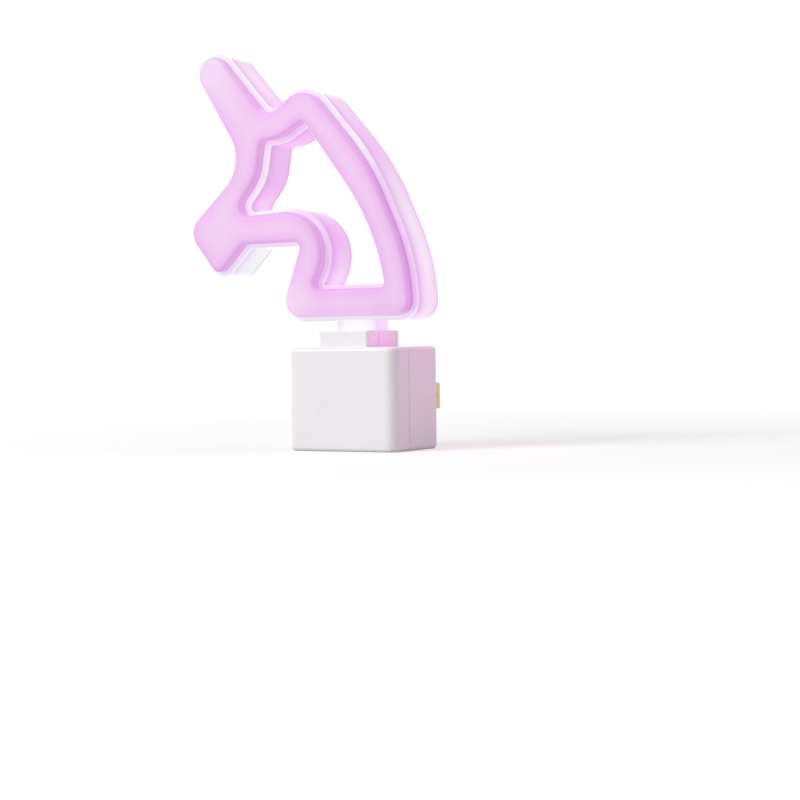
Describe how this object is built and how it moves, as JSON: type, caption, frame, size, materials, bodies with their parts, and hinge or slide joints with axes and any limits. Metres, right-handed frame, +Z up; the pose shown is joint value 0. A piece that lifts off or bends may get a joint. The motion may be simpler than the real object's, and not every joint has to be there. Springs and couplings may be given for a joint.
{
  "type": "plug-in night light",
  "caption": "Plug-in night light: a white housing with blades at its back carries a glowing unicorn-head outline made of a clear edge plate between a front and a rear diffuser.",
  "frame": {"origin": "centre of the plug face, midway between the two blades", "axes": "+Z is up, +Y points into the wall along the blades, and the front of the light looks along -Y with +X to the right of someone who faces it"},
  "size_m": [0.0616, 0.0368, 0.0958],
  "materials": {
    "housing_white": "moulded ABS, satin",
    "blade_metal": "stamped brass, bright",
    "inner_white": "moulded, matte",
    "screw_steel": "zinc plated",
    "board_green": "solder mask, semi-gloss",
    "film_yellow": "dipped, glossy",
    "can_black": "shrink sleeve, satin",
    "package_black": "moulded epoxy, matte",
    "resistor_green": "lacquered, satin",
    "board_white": "white solder mask, satin",
    "led_face": "clear encapsulant",
    "wire_red": "PVC, satin",
    "guide_clear": "clear acrylic, polished",
    "diffuser_front_pink": "translucent, satin",
    "diffuser_rear_pink": "translucent, satin",
    "contact_brass": "stamped, bright",
    "frame_steel": "tin plated",
    "slider_black": "moulded nylon, matte"
  },
  "bodies": {
    "light": {"front_shell": "housing_white", "rear_shell": "housing_white", "blade_left": "blade_metal", "blade_right": "blade_metal", "blade_retainer": "inner_white", "retainer_screws": "screw_steel", "driver_board": "board_green", "film_capacitor": "film_yellow", "smoothing_capacitor": "can_black", "bridge_rectifier": "package_black", "fuse_resistor": "resistor_green", "chip_resistors": "package_black", "led_board": "board_white", "leds": "led_face", "led_wires": "wire_red", "foot_clip": "screw_steel", "light_guide": "guide_clear", "front_diffuser": "diffuser_front_pink", "rear_diffuser": "diffuser_rear_pink", "switch_frame": "frame_steel", "switch_terminals": "contact_brass"},
    "switch": {"switch_slider": "slider_black", "switch_contact": "contact_brass", "switch_knob": "housing_white"}
  },
  "joints": [
    {"name": "switch_slide", "type": "slide", "parent": "light", "child": "switch", "axis": [0, 0, 1], "range_m": [-0.002, 0]}
  ]
}
